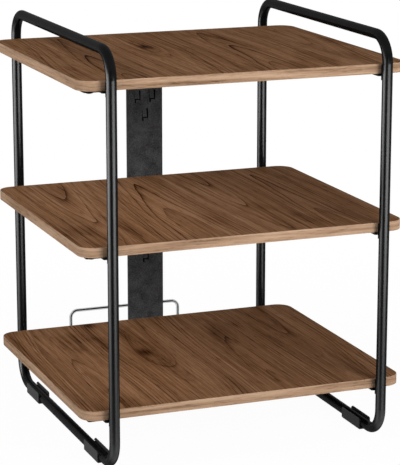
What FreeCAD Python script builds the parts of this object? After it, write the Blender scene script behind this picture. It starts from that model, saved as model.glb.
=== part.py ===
import FreeCAD, Part
import math
import os
import re
import Sketcher

# Three-tier open shelf stand: two bent-tube loops carry three laminated boards.
# X runs to the right, Y to the back and Z up from the floor, all in millimetres.

doc = FreeCAD.newDocument("shelf_stand")

# Driving dimensions
SIZES = {
    # tube loops
    "tube_diameter": 16,
    "tube_wall": 1.2,
    "tube_bend_radius": 40,
    "frame_spacing": 435,
    "hand_gap": 33.5,
    # shelves
    "shelf_width": 520,
    "shelf_depth": 455,
    "shelf_thickness": 15,
    "shelf_corner_radius": 25,
    "edge_band_thickness": 1,
    "edge_rounding": 0.6,
    "bottom_shelf_height": 97,
    "middle_shelf_height": 345,
    "top_shelf_height": 589,
    # welded shelf brackets
    "bracket_thickness": 3,
    "bracket_leg_width": 9.5,
    "bracket_leg_drop": 9.5,
    "bracket_leg_reveal": 1,
    "bracket_edge_clearance": 0.9,
    "bracket_weld_seat": 0.6,
    "bracket_weld_reach": 2.6,
    "bracket_tab_width": 22,
    "bracket_corner_radius": 3,
    "weld_gap": 0.1,
    # shelf bolts and their threaded inserts
    "bolt_inset": 20,
    "bolt_outboard_step": 22.5,
    "bolt_diameter": 6,
    "bolt_head_diameter": 15,
    "bolt_head_height": 3.2,
    "bolt_head_rim": 0.8,
    "bolt_engagement": 8,
    "bolt_point": 1,
    "bolt_hole_diameter": 6.6,
    "bolt_socket_width": 4,
    "bolt_socket_depth": 1.8,
    "insert_diameter": 10,
    "insert_length": 11,
    "thread_clearance": 0.1,
    # rear cable panel
    "panel_width": 63,
    "panel_thickness": 2,
    "panel_bend_radius": 3,
    "panel_top_reveal": 2,
    "panel_cover_thickness": 1.2,
    "panel_cover_clearance": 0.2,
    "panel_cover_gap": 0.1,
    "hook_pair_drop": 108.2,
    "hook_single_drop": 139.3,
    "hook_pair_spacing": 26,
    "hook_width": 10.5,
    "hook_height": 21.5,
    "hook_lip_height": 5,
    "hook_slit": 2.8,
    "hook_side_gap": 0.3,
    "hook_tongue_stand": 2,
    "hook_lip_setback": 0.8,
    # board screws for the panel and the cradle
    "screw_diameter": 4,
    "screw_head_diameter": 8,
    "screw_head_height": 2.6,
    "screw_head_rim": 0.6,
    "screw_socket_width": 2.5,
    "screw_socket_depth": 1.4,
    "screw_hole_diameter": 4.6,
    "screw_point": 3,
    "panel_screw_length": 25,
    "panel_screw_spacing": 40,
    "cradle_screw_length": 13,
    # wire cable cradle behind the bottom shelf
    "wire_diameter": 6,
    "wire_bend_radius": 12,
    "cradle_width": 199.5,
    "cradle_reach": 113.5,
    "cradle_depth": 42,
    "cradle_bar_drop": 7.6,
    "cradle_plate_length": 55,
    "cradle_plate_width": 36,
    "cradle_plate_thickness": 3,
    "cradle_plate_inset": 16,
    "cradle_screw_inset": 9,
    # clip-on feet
    "foot_length": 65,
    "foot_wall": 1.4,
    "foot_sole": 2,
    "foot_chamfer": 2,
    "foot_rim_rounding": 3,
    "foot_toe_rounding": 4,
    "foot_snap": 1.4,
    "foot_wall_rise": 1,
    "foot_clearance": 0.1,
    "foot_centre": 153,
}

sheet = doc.addObject("Spreadsheet::Sheet", "sizes")
for row, (alias, size) in enumerate(SIZES.items(), start=1):
    sheet.set(f"A{row}", alias)
    sheet.set(f"B{row}", str(size))
    sheet.setAlias(f"B{row}", alias)
doc.recompute()

# Places worked out from the driving dimensions
FRAME_X = "(frame_spacing / 2)"
SHELF_EDGE = "(shelf_depth / 2)"
BRACKET_INNER = f"({SHELF_EDGE} + bracket_edge_clearance)"
BRACKET_OUTER = f"({BRACKET_INNER} + bracket_thickness)"
LEG_Y = f"({BRACKET_OUTER} + bracket_weld_seat + tube_diameter / 2)"
RAIL_Z = "(foot_sole + foot_clearance + tube_diameter / 2)"
HANDLE_Z = "(top_shelf_height + hand_gap + tube_diameter / 2)"
BOLT_Y = f"({SHELF_EDGE} - bolt_inset)"
PANEL_REAR = f"({SHELF_EDGE} + panel_thickness)"
PANEL_TOP = "(top_shelf_height - panel_top_reveal)"
COVER_FRONT = f"({PANEL_REAR} + max(hook_lip_setback; screw_head_height) + panel_cover_clearance)"
COVER_REAR = f"({COVER_FRONT} + panel_cover_thickness)"
WIRE_Y = f"({SHELF_EDGE} + cradle_reach)"
WIRE_X = "(cradle_width / 2)"
BAR_Z = "(bottom_shelf_height - cradle_bar_drop)"
CRADLE_FLOOR_Z = f"({BAR_Z} - cradle_depth)"
BOTTOM_UNDERSIDE = "(bottom_shelf_height - shelf_thickness)"
WIRE_SEAT_Z = f"({BOTTOM_UNDERSIDE} - cradle_plate_thickness - weld_gap - wire_diameter / 2)"
PLATE_REAR = f"({SHELF_EDGE} - cradle_plate_inset)"
PLATE_FRONT = f"({PLATE_REAR} - cradle_plate_length)"

# The stand is centred between its front legs and the back of its cradle.
FRONT_REACH = f"({LEG_Y} + tube_diameter / 2)"
REAR_REACH = f"max({FRONT_REACH}; {WIRE_Y} + wire_diameter / 2)"
CENTRE_SHIFT = f"(({FRONT_REACH} - {REAR_REACH}) / 2)"

SHELVES = ("bottom", "middle", "top")
SIDES = {"left": -1, "right": 1}
ENDS = {"front": -1, "rear": 1}

# Points closer than this are the same point.
TOUCH = 1e-6

sub_parts = []


def formula(expression):
    """Point each alias in an expression at the sheet."""
    words = "|".join(sorted(SIZES, key=len, reverse=True))
    return re.sub(rf"\b({words})\b", r"sizes.\1", expression)


def number(expression):
    """Work an expression out, in millimetres."""
    return float(sheet.evalExpression(formula(expression)))


def bind(item, name, expression):
    item.setExpression(name, formula(expression))


def keep(item, label):
    """Name a finished sub-part and set it in the stand's own frame."""
    item.Label = label
    bind(item, "Placement.Base.y", CENTRE_SHIFT)
    sub_parts.append(item)


def new_body(name):
    return doc.addObject("PartDesign::Body", name)


# Sketch helpers


def new_sketch(body, name, role, offset=None):
    """Start a sketch on one of the body's origin planes, moved along the plane's normal."""
    sketch = body.newObject("Sketcher::SketchObject", name)
    plane = next(item for item in body.Origin.OriginFeatures if item.Role == role)
    sketch.AttachmentSupport = [(plane, "")]
    sketch.MapMode = "FlatFace"
    if offset:
        bind(sketch, "AttachmentOffset.Base.z", offset)
    return sketch


def hold(sketch, kind, *where, expression):
    """Add one dimension to a sketch and bind it."""
    index = sketch.addConstraint(Sketcher.Constraint(kind, *where, number(expression)))
    bind(sketch, f"Constraints[{index}]", expression)


def hold_point(sketch, geometry, point, across, up):
    hold(sketch, "DistanceX", -1, 1, geometry, point, expression=across)
    hold(sketch, "DistanceY", -1, 1, geometry, point, expression=up)


def vector(across, up):
    return FreeCAD.Vector(number(across), number(up), 0)


def draw_circle(sketch, across, up, diameter):
    circle = Part.Circle(vector(across, up), FreeCAD.Vector(0, 0, 1), number(diameter) / 2)
    index = sketch.addGeometry(circle)
    hold_point(sketch, index, 3, across, up)
    hold(sketch, "Diameter", index, expression=diameter)


def draw_polygon(sketch, points):
    """Draw a closed outline of straight lines through points given as expressions."""
    count = len(points)
    lines = []
    for start, end in zip(points, points[1:] + points[:1]):
        lines.append(sketch.addGeometry(Part.LineSegment(vector(*start), vector(*end))))
    for place, (line, point) in enumerate(zip(lines, points)):
        hold_point(sketch, line, 1, *point)
        sketch.addConstraint(Sketcher.Constraint("Coincident", line, 2, lines[(place + 1) % count], 1))


def draw_box(sketch, left, low, right, high):
    draw_polygon(sketch, [(left, low), (right, low), (right, high), (left, high)])


def draw_bends(sketch, corners, radius):
    """Draw the quarter bends of an outline or a run.

    Each corner is the bend's centre across and up, with the quarter turn, counted from +X,
    where its arc starts.
    """
    quarter = math.pi / 2
    arcs = []
    for across, up, turn in corners:
        circle = Part.Circle(vector(across, up), FreeCAD.Vector(0, 0, 1), number(radius))
        arc = sketch.addGeometry(Part.ArcOfCircle(circle, turn * quarter, (turn + 1) * quarter))
        hold_point(sketch, arc, 3, across, up)
        hold(sketch, "Radius", arc, expression=radius)
        along, square = ("Horizontal", "Vertical") if turn % 2 == 0 else ("Vertical", "Horizontal")
        sketch.addConstraint(Sketcher.Constraint(along, arc, 1, arc, 3))
        sketch.addConstraint(Sketcher.Constraint(square, arc, 2, arc, 3))
        arcs.append(arc)
    return arcs


def join_points(sketch, first, second):
    """Draw a straight run between two sketch points that are already held."""
    line = sketch.addGeometry(Part.LineSegment(sketch.getPoint(*first), sketch.getPoint(*second)))
    sketch.addConstraint(Sketcher.Constraint("Coincident", line, 1, *first))
    sketch.addConstraint(Sketcher.Constraint("Coincident", line, 2, *second))
    return line


def run_out(sketch, first, across, up):
    """Draw a straight run from a held sketch point to a free end."""
    line = sketch.addGeometry(Part.LineSegment(sketch.getPoint(*first), vector(across, up)))
    sketch.addConstraint(Sketcher.Constraint("Coincident", line, 1, *first))
    hold_point(sketch, line, 2, across, up)
    return line


def draw_rounded_box(sketch, left, low, right, high, radius):
    corners = [
        (f"{right} - {radius}", f"{high} - {radius}", 0),
        (f"{left} + {radius}", f"{high} - {radius}", 1),
        (f"{left} + {radius}", f"{low} + {radius}", 2),
        (f"{right} - {radius}", f"{low} + {radius}", 3),
    ]
    arcs = draw_bends(sketch, corners, radius)
    for place, arc in enumerate(arcs):
        join_points(sketch, (arc, 2), (arcs[(place + 1) % 4], 1))


def draw_corner_waste(sketch, across, up, turn, radius):
    """Outline what rounding takes off a corner, whose quarter turn is counted as for a bend."""
    inward = "-" if turn in (0, 3) else "+"
    downward = "-" if turn in (0, 1) else "+"
    bend = (f"{across} {inward} {radius}", f"{up} {downward} {radius}", turn)
    arc = draw_bends(sketch, [bend], radius)[0]
    edge = run_out(sketch, (arc, 1), across, up)
    join_points(sketch, (edge, 2), (arc, 2))


# Feature helpers


def pad(body, sketch, name, length, symmetric=False):
    feature = body.newObject("PartDesign::Pad", name)
    feature.Profile = sketch
    feature.SideType = "Symmetric" if symmetric else "One side"
    bind(feature, "Length", length)
    return feature


def pocket(body, sketch, name, length, reverse=False, symmetric=False):
    """Cut a sketch's outline away, and make sure that it removed something."""
    doc.recompute()
    before = body.Shape.Volume
    feature = body.newObject("PartDesign::Pocket", name)
    feature.Profile = sketch
    feature.Reversed = reverse
    feature.SideType = "Symmetric" if symmetric else "One side"
    bind(feature, "Length", length)
    doc.recompute()
    if body.Shape.Volume >= before:
        raise RuntimeError(f"{body.Name}: {name} cuts nothing")
    return feature


def pipe(body, profile, spine, name, kind="PartDesign::AdditivePipe"):
    feature = body.newObject(kind, name)
    feature.Profile = profile
    edges = [f"Edge{index + 1}" for index in range(spine.GeometryCount)]
    feature.Spine = (spine, edges)
    doc.recompute()
    return feature


def upright_edges(feature, places):
    """Find the edges that stand upright at the given places in plan."""
    names = []
    for index, edge in enumerate(feature.Shape.Edges, start=1):
        first, last = edge.Vertexes[0].Point, edge.Vertexes[-1].Point
        upright = math.hypot(first.x - last.x, first.y - last.y) < TOUCH
        for across, up in places:
            if upright and math.hypot(first.x - number(across), first.y - number(up)) < TOUCH:
                names.append(f"Edge{index}")
    return names


def fillet(body, base, name, edges, radius):
    feature = body.newObject("PartDesign::Fillet", name)
    feature.Base = (base, edges)
    bind(feature, "Radius", radius)
    doc.recompute()
    return feature


def copies(label, pattern, places, tilt=0):
    """Set copies of one fastener at places given as expressions, as one group of solids.

    The tilt, in degrees, turns the fastener about X.
    """
    links = []
    for index, place in enumerate(places, start=1):
        link = doc.addObject("App::Link", f"{label}_{index}")
        link.LinkedObject = pattern
        link.Placement = FreeCAD.Placement(FreeCAD.Vector(), FreeCAD.Rotation(FreeCAD.Vector(1, 0, 0), tilt))
        for axis, expression in zip("xyz", place):
            bind(link, f"Placement.Base.{axis}", expression)
        links.append(link)
    group = doc.addObject("Part::Compound", label)
    group.Links = links
    keep(group, label)
    return group


# Tube loops


def make_frame_tube(side, sign):
    """One loop of round tube: bottom rail, two legs and the rail that stands over the top shelf."""
    body = new_body(f"{side}_loop")
    x = f"({sign} * {FRAME_X})"
    spine = new_sketch(body, f"{side}_loop_line", "YZ_Plane", x)
    bend = "tube_bend_radius"
    corners = [
        (f"{LEG_Y} - {bend}", f"{HANDLE_Z} - {bend}", 0),
        (f"{bend} - {LEG_Y}", f"{HANDLE_Z} - {bend}", 1),
        (f"{bend} - {LEG_Y}", f"{RAIL_Z} + {bend}", 2),
        (f"{LEG_Y} - {bend}", f"{RAIL_Z} + {bend}", 3),
    ]
    arcs = draw_bends(spine, corners, bend)
    for first, second in ((0, 1), (1, 2), (3, 0)):
        join_points(spine, (arcs[first], 2), (arcs[second], 1))
    middle = run_out(spine, (arcs[2], 2), "0", RAIL_Z)
    join_points(spine, (middle, 2), (arcs[3], 1))
    for layer, diameter in (("outer", "tube_diameter"), ("inner", "tube_diameter - 2 * tube_wall")):
        profile = new_sketch(body, f"{side}_loop_{layer}", "XZ_Plane")
        draw_circle(profile, x, RAIL_Z, diameter)
        kind = "PartDesign::AdditivePipe" if layer == "outer" else "PartDesign::SubtractivePipe"
        pipe(body, profile, spine, f"{side}_loop_{layer}_pipe", kind)
    keep(body, f"{side}_frame_tube")


# Shelf brackets


def two_bolts(side_sign, end_sign):
    """Both loops are one part turned about Z, so the wide brackets sit at opposite corners."""
    return side_sign == end_sign


def bolt_places(side_sign, end_sign):
    places = [(f"({side_sign} * {FRAME_X})", f"({end_sign} * {BOLT_Y})")]
    if two_bolts(side_sign, end_sign):
        outboard = f"({side_sign} * ({FRAME_X} + bolt_outboard_step))"
        places.append((outboard, f"({end_sign} * {BOLT_Y})"))
    return places


def span(sign, near, far):
    """Order a near and a far distance from the centre along one axis, low end first."""
    return (f"({near})", f"({far})") if sign > 0 else (f"(-({far}))", f"(-({near}))")


def make_bracket(shelf, end, side):
    """Upright leg welded along the tube, with a tab under the board for its bolts."""
    end_sign, side_sign = ENDS[end], SIDES[side]
    name = f"{shelf}_{end}_{side}_bracket"
    underside = f"({shelf}_shelf_height - shelf_thickness)"
    leg_foot = f"({underside} - bracket_leg_drop)"
    leg_height = "shelf_thickness - bracket_leg_reveal + bracket_leg_drop"
    x = f"({side_sign} * {FRAME_X})"
    body = new_body(name)

    leg = new_sketch(body, f"{name}_leg_outline", "XY_Plane", leg_foot)
    low, high = span(end_sign, BRACKET_INNER, f"{BRACKET_OUTER} + bracket_weld_reach")
    half_leg = "bracket_leg_width / 2"
    draw_box(leg, f"{x} - {half_leg}", low, f"{x} + {half_leg}", high)
    pad(body, leg, f"{name}_leg", leg_height)

    tab_foot = f"({underside} - bracket_thickness)"
    tab = new_sketch(body, f"{name}_tab_outline", "XY_Plane", tab_foot)
    half_tab = "bracket_tab_width / 2"
    low, high = span(end_sign, f"{BOLT_Y} - {half_tab}", BRACKET_OUTER)
    draw_rounded_box(tab, f"{x} - {half_tab}", low, f"{x} + {half_tab}", high, "bracket_corner_radius")
    pad(body, tab, f"{name}_tab", "bracket_thickness")

    if two_bolts(side_sign, end_sign):
        wing = new_sketch(body, f"{name}_wing_outline", "XY_Plane", tab_foot)
        left, right = span(side_sign, FRAME_X, f"{FRAME_X} + bolt_outboard_step + {half_tab}")
        low, high = span(end_sign, f"{BOLT_Y} - {half_tab}", f"{BOLT_Y} + {half_tab}")
        draw_rounded_box(wing, left, low, right, high, "bracket_corner_radius")
        pad(body, wing, f"{name}_wing", "bracket_thickness")

    seat = new_sketch(body, f"{name}_seat_outline", "XY_Plane", leg_foot)
    draw_circle(seat, x, f"{end_sign} * {LEG_Y}", "tube_diameter + 2 * weld_gap")
    pocket(body, seat, f"{name}_seat", leg_height, reverse=True)

    holes = new_sketch(body, f"{name}_hole_outline", "XY_Plane", tab_foot)
    for across, up in bolt_places(side_sign, end_sign):
        draw_circle(holes, across, up, "bolt_hole_diameter")
    pocket(body, holes, f"{name}_holes", "bracket_thickness", reverse=True)
    keep(body, name)


# Shelves

# The rounded rim takes at most this share of the band.
ROUNDING_LIMIT = 0.7


def shelf_bolts():
    places = []
    for end_sign in ENDS.values():
        for side_sign in SIDES.values():
            places += bolt_places(side_sign, end_sign)
    return places


def panel_screw_places(shelf):
    height = f"({shelf}_shelf_height - shelf_thickness / 2)"
    return [(f"({sign} * panel_screw_spacing / 2)", height) for sign in SIDES.values()]


def cradle_screw_places(side_sign):
    """Two screws beside the wire on one mounting plate, at opposite corners."""
    aside = "(cradle_plate_width / 2 - cradle_screw_inset)"
    ahead = "(cradle_plate_length / 2 - cradle_screw_inset)"
    places = []
    for end_sign in ENDS.values():
        across = f"({side_sign} * {WIRE_X} + {end_sign} * {aside})"
        along = f"(({PLATE_FRONT} + {PLATE_REAR}) / 2 + {end_sign} * {ahead})"
        places.append((across, along))
    return places


SCREW_BORE = "screw_diameter + 2 * thread_clearance"
PANEL_SCREW_REACH = "(panel_screw_length - panel_thickness)"
CRADLE_SCREW_REACH = "(cradle_screw_length - cradle_plate_thickness)"


def drill_from_rear(body, shelf, name):
    """Pilot holes for the panel's screws, bored forward from the board's rear edge."""
    holes = new_sketch(body, f"{name}_rear_hole_outline", "XZ_Plane", f"-{SHELF_EDGE}")
    for across, up in panel_screw_places(shelf):
        draw_circle(holes, across, up, SCREW_BORE)
    pocket(body, holes, f"{name}_rear_holes", f"{PANEL_SCREW_REACH} + thread_clearance", reverse=True)


def rim_edges(feature):
    """Find the outer edges of the faces that look straight up or down."""
    names = []
    for face in feature.Shape.Faces:
        level = face.BoundBox.ZLength < TOUCH
        rim = face.OuterWire.Edges if level else []
        for index, edge in enumerate(feature.Shape.Edges, start=1):
            if any(edge.isSame(other) for other in rim):
                names.append(f"Edge{index}")
    return names


def make_shelf(shelf):
    """A laminated board and the band that wraps its edge."""
    underside = f"({shelf}_shelf_height - shelf_thickness)"
    half_width = "(shelf_width / 2)"

    band_name = f"{shelf}_shelf_edge_band"
    band = new_body(band_name)
    ring = new_sketch(band, f"{band_name}_outline", "XY_Plane", underside)
    draw_rounded_box(ring, f"-{half_width}", f"-{SHELF_EDGE}", half_width, SHELF_EDGE, "shelf_corner_radius")
    board_half_width = f"({half_width} - edge_band_thickness)"
    board_half_depth = f"({SHELF_EDGE} - edge_band_thickness)"
    board_outline = (
        f"-{board_half_width}",
        f"-{board_half_depth}",
        board_half_width,
        board_half_depth,
        "(shelf_corner_radius - edge_band_thickness)",
    )
    draw_rounded_box(ring, *board_outline)
    wrap = pad(band, ring, f"{band_name}_ring", "shelf_thickness")
    doc.recompute()
    rounding = f"min(edge_rounding; {ROUNDING_LIMIT} * edge_band_thickness)"
    fillet(band, wrap, f"{band_name}_rounding", rim_edges(wrap), rounding)
    drill_from_rear(band, shelf, band_name)
    keep(band, band_name)

    board_name = f"{shelf}_shelf_board"
    board = new_body(board_name)
    outline = new_sketch(board, f"{board_name}_outline", "XY_Plane", underside)
    draw_rounded_box(outline, *board_outline)
    pad(board, outline, f"{board_name}_core", "shelf_thickness")
    drill_from_rear(board, shelf, board_name)
    insert_holes = new_sketch(board, f"{board_name}_insert_outline", "XY_Plane", underside)
    for across, up in shelf_bolts():
        draw_circle(insert_holes, across, up, "insert_diameter + 2 * thread_clearance")
    pocket(board, insert_holes, f"{board_name}_insert_holes", "insert_length", reverse=True)
    if shelf == "bottom":
        cradle_holes = new_sketch(board, f"{board_name}_cradle_outline", "XY_Plane", underside)
        for side_sign in SIDES.values():
            for across, up in cradle_screw_places(side_sign):
                draw_circle(cradle_holes, across, up, SCREW_BORE)
        depth = f"{CRADLE_SCREW_REACH} + thread_clearance"
        pocket(board, cradle_holes, f"{board_name}_cradle_holes", depth, reverse=True)
    keep(board, board_name)


# Fasteners, each made once and copied to its places


def make_insert_pattern():
    """A threaded insert, its mouth at Z = 0 and its body above."""
    body = new_body("insert_pattern")
    ring = new_sketch(body, "insert_outline", "XY_Plane")
    draw_circle(ring, "0", "0", "insert_diameter")
    draw_circle(ring, "0", "0", "bolt_diameter + 2 * thread_clearance")
    pad(body, ring, "insert_ring", "insert_length")
    return body


def make_domed_fastener(name, head, shank, length, point):
    """A domed head under Z = 0 and a round shank above it, turned about Z."""
    body = new_body(f"{name}_pattern")
    turned = new_sketch(body, f"{name}_outline", "XZ_Plane")
    radius = f"({shank} / 2)"
    rim = f"({head}_diameter / 2)"
    places = [
        (rim, f"-{head}_rim"),
        (rim, "0"),
        (radius, "0"),
        (radius, f"{length} - {point}"),
        (f"{radius} - {point} / 2", length),
        ("0", length),
        ("0", f"-{head}_height"),
    ]
    lines = []
    for start, end in zip(places, places[1:]):
        lines.append(turned.addGeometry(Part.LineSegment(vector(*start), vector(*end))))
    for line, start in zip(lines, places):
        hold_point(turned, line, 1, *start)
    for line, follower in zip(lines, lines[1:]):
        turned.addConstraint(Sketcher.Constraint("Coincident", line, 2, follower, 1))
    hold_point(turned, lines[-1], 2, *places[-1])
    rise = number(f"{head}_height - {head}_rim")
    dome_radius = (number(rim) ** 2 + rise ** 2) / (2 * rise)
    centre = FreeCAD.Vector(0, dome_radius - number(f"{head}_height"), 0)
    edge_angle = math.atan2(-number(f"{head}_rim") - centre.y, number(rim))
    circle = Part.Circle(centre, FreeCAD.Vector(0, 0, 1), dome_radius)
    dome = turned.addGeometry(Part.ArcOfCircle(circle, -math.pi / 2, edge_angle))
    turned.addConstraint(Sketcher.Constraint("Coincident", dome, 1, lines[-1], 2))
    turned.addConstraint(Sketcher.Constraint("Coincident", dome, 2, lines[0], 1))
    turned.addConstraint(Sketcher.Constraint("PointOnObject", dome, 3, -2))
    turn = body.newObject("PartDesign::Revolution", f"{name}_turned")
    turn.Profile = turned
    turn.ReferenceAxis = (turned, ["V_Axis"])
    turn.Angle = 360
    return body


def cut_socket(body, name, width, depth, head):
    """A hexagon socket in the crown of a domed head."""
    socket = new_sketch(body, f"{name}_socket_outline", "XY_Plane", f"-{head}_height")
    corner = f"({width} / sqrt(3))"
    half = f"({width} / 2)"
    points = [
        (corner, "0"),
        (f"{corner} / 2", half),
        (f"-{corner} / 2", half),
        (f"-{corner}", "0"),
        (f"-{corner} / 2", f"-{half}"),
        (f"{corner} / 2", f"-{half}"),
    ]
    draw_polygon(socket, points)
    pocket(body, socket, f"{name}_socket", depth, reverse=True)


# Rear cable panel


def hook_places():
    """Each row of hooks hangs below a shelf: a pair, and one hook centred under it."""
    places = []
    for shelf in ("top", "middle"):
        pair = f"({shelf}_shelf_height - hook_pair_drop)"
        for sign in SIDES.values():
            places.append((f"({sign} * hook_pair_spacing / 2)", pair))
        places.append(("0", f"({shelf}_shelf_height - hook_single_drop)"))
    return places


def make_panel():
    """A folded steel strip behind the shelves, pierced with pressed cable hooks."""
    body = new_body("cable_panel")
    half = "(panel_width / 2)"
    inner = f"({half} - panel_thickness)"

    section = new_sketch(body, "panel_section", "XY_Plane", BOTTOM_UNDERSIDE)
    points = [
        (f"-{half}", SHELF_EDGE),
        (half, SHELF_EDGE),
        (half, COVER_REAR),
        (inner, COVER_REAR),
        (inner, PANEL_REAR),
        (f"-{inner}", PANEL_REAR),
        (f"-{inner}", COVER_REAR),
        (f"-{half}", COVER_REAR),
    ]
    draw_polygon(section, points)
    strip = pad(body, section, "panel_strip", f"{PANEL_TOP} - {BOTTOM_UNDERSIDE}")
    doc.recompute()

    outer_bends = upright_edges(strip, [(f"-{half}", SHELF_EDGE), (half, SHELF_EDGE)])
    bend = fillet(body, strip, "panel_outer_bends", outer_bends, "panel_bend_radius")
    inner_bends = upright_edges(bend, [(f"-{inner}", PANEL_REAR), (inner, PANEL_REAR)])
    fillet(body, bend, "panel_inner_bends", inner_bends, "panel_bend_radius - panel_thickness")

    windows = new_sketch(body, "panel_windows", "XZ_Plane", f"-{SHELF_EDGE}")
    half_hook = "hook_width / 2"
    for across, up in hook_places():
        low, high = f"{up} - hook_height / 2", f"{up} + hook_height / 2"
        draw_box(windows, f"{across} - {half_hook}", low, f"{across} + {half_hook}", high)
    pocket(body, windows, "panel_window_cut", "panel_thickness")

    holes = new_sketch(body, "panel_holes", "XZ_Plane", f"-{SHELF_EDGE}")
    for shelf in SHELVES:
        for across, up in panel_screw_places(shelf):
            draw_circle(holes, across, up, "screw_hole_diameter")
    pocket(body, holes, "panel_hole_cut", "panel_thickness")

    for index, (across, up) in enumerate(hook_places(), start=1):
        add_hook(body, f"hook_{index}", across, up)
    keep(body, "rear_cable_panel")


def add_hook(body, name, across, up):
    """An upper tongue that leans forward and a lower lip that leans back, each joined at one end.

    The slit between them runs down the tongue's right side, across, and down the lip's left side.
    """
    top, low = f"({up} + hook_height / 2)", f"({up} - hook_height / 2)"
    lip_top = f"({low} + hook_lip_height)"
    tongue_foot = f"({lip_top} + hook_slit)"
    width = "hook_width - hook_slit - hook_side_gap"
    aside = "(hook_slit - hook_side_gap) / 2"
    front, back = SHELF_EDGE, PANEL_REAR

    tongue = new_sketch(body, f"{name}_tongue_outline", "YZ_Plane", f"{across} - {aside}")
    points = [
        (front, top),
        (f"{front} - hook_tongue_stand", tongue_foot),
        (f"{back} - hook_tongue_stand", tongue_foot),
        (back, top),
    ]
    draw_polygon(tongue, points)
    pad(body, tongue, f"{name}_tongue", width, symmetric=True)

    lip = new_sketch(body, f"{name}_lip_outline", "YZ_Plane", f"{across} + {aside}")
    points = [
        (front, low),
        (f"{front} + hook_lip_setback", lip_top),
        (f"{back} + hook_lip_setback", lip_top),
        (back, low),
    ]
    draw_polygon(lip, points)
    pad(body, lip, f"{name}_lip", width, symmetric=True)
    doc.recompute()


def make_panel_cover():
    """A flat strip between the panel's flanges that closes its back."""
    body = new_body("panel_cover")
    half = "(panel_width / 2 - panel_thickness - panel_cover_gap)"
    section = new_sketch(body, "panel_cover_section", "XY_Plane", BOTTOM_UNDERSIDE)
    draw_box(section, f"-{half}", COVER_FRONT, half, COVER_REAR)
    pad(body, section, "panel_cover_strip", f"{PANEL_TOP} - {BOTTOM_UNDERSIDE}")
    keep(body, "panel_back_cover")


# Wire cable cradle


def make_cradle():
    """One chromed wire: a bail behind the bottom shelf, with both legs bent forward under it."""
    body = new_body("cradle")
    bend = "wire_bend_radius"
    joint_z = f"({CRADLE_FLOOR_Z} + cradle_depth / 2)"

    bail = new_sketch(body, "cradle_bail_line", "XZ_Plane", f"-{WIRE_Y}")
    corners = [
        (f"{WIRE_X} - {bend}", f"{BAR_Z} - {bend}", 0),
        (f"{bend} - {WIRE_X}", f"{BAR_Z} - {bend}", 1),
    ]
    right, left = draw_bends(bail, corners, bend)
    run_out(bail, (right, 1), WIRE_X, joint_z)
    join_points(bail, (right, 2), (left, 1))
    run_out(bail, (left, 2), f"-{WIRE_X}", joint_z)
    section = new_sketch(body, "cradle_bail_section", "XY_Plane", joint_z)
    draw_circle(section, WIRE_X, WIRE_Y, "wire_diameter")
    pipe(body, section, bail, "cradle_bail")

    for side, sign in SIDES.items():
        x = f"({sign} * {WIRE_X})"
        leg = new_sketch(body, f"cradle_{side}_leg_line", "YZ_Plane", x)
        corners = [
            (f"{WIRE_Y} - {bend}", f"{CRADLE_FLOOR_Z} + {bend}", 3),
            (f"{PLATE_REAR} + {bend}", f"{CRADLE_FLOOR_Z} + {bend}", 2),
            (f"{PLATE_REAR} - {bend}", f"{WIRE_SEAT_Z} - {bend}", 0),
        ]
        rear, floor, drop = draw_bends(leg, corners, bend)
        run_out(leg, (rear, 2), WIRE_Y, joint_z)
        join_points(leg, (rear, 1), (floor, 2))
        join_points(leg, (floor, 1), (drop, 1))
        run_out(leg, (drop, 2), PLATE_FRONT, WIRE_SEAT_Z)
        section = new_sketch(body, f"cradle_{side}_leg_section", "XY_Plane", joint_z)
        draw_circle(section, x, WIRE_Y, "wire_diameter")
        pipe(body, section, leg, f"cradle_{side}_leg")
    keep(body, "cable_cradle_wire")


def make_cradle_plate(side, sign):
    """A flat plate under the bottom shelf that a leg of the wire is welded to."""
    name = f"{side}_cradle_plate"
    body = new_body(name)
    foot = f"({BOTTOM_UNDERSIDE} - cradle_plate_thickness)"
    x = f"({sign} * {WIRE_X})"
    outline = new_sketch(body, f"{name}_outline", "XY_Plane", foot)
    left, right = f"{x} - cradle_plate_width / 2", f"{x} + cradle_plate_width / 2"
    draw_rounded_box(outline, left, PLATE_FRONT, right, PLATE_REAR, "bracket_corner_radius")
    pad(body, outline, f"{name}_plate", "cradle_plate_thickness")
    holes = new_sketch(body, f"{name}_hole_outline", "XY_Plane", foot)
    for across, up in cradle_screw_places(sign):
        draw_circle(holes, across, up, "screw_hole_diameter")
    pocket(body, holes, f"{name}_holes", "cradle_plate_thickness", reverse=True)
    keep(body, name)


# Clip-on feet

# The snap bead starts and crests at these shares of the tube's radius above its axis.
SNAP_START = 0.5
SNAP_CREST = 0.72


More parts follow.
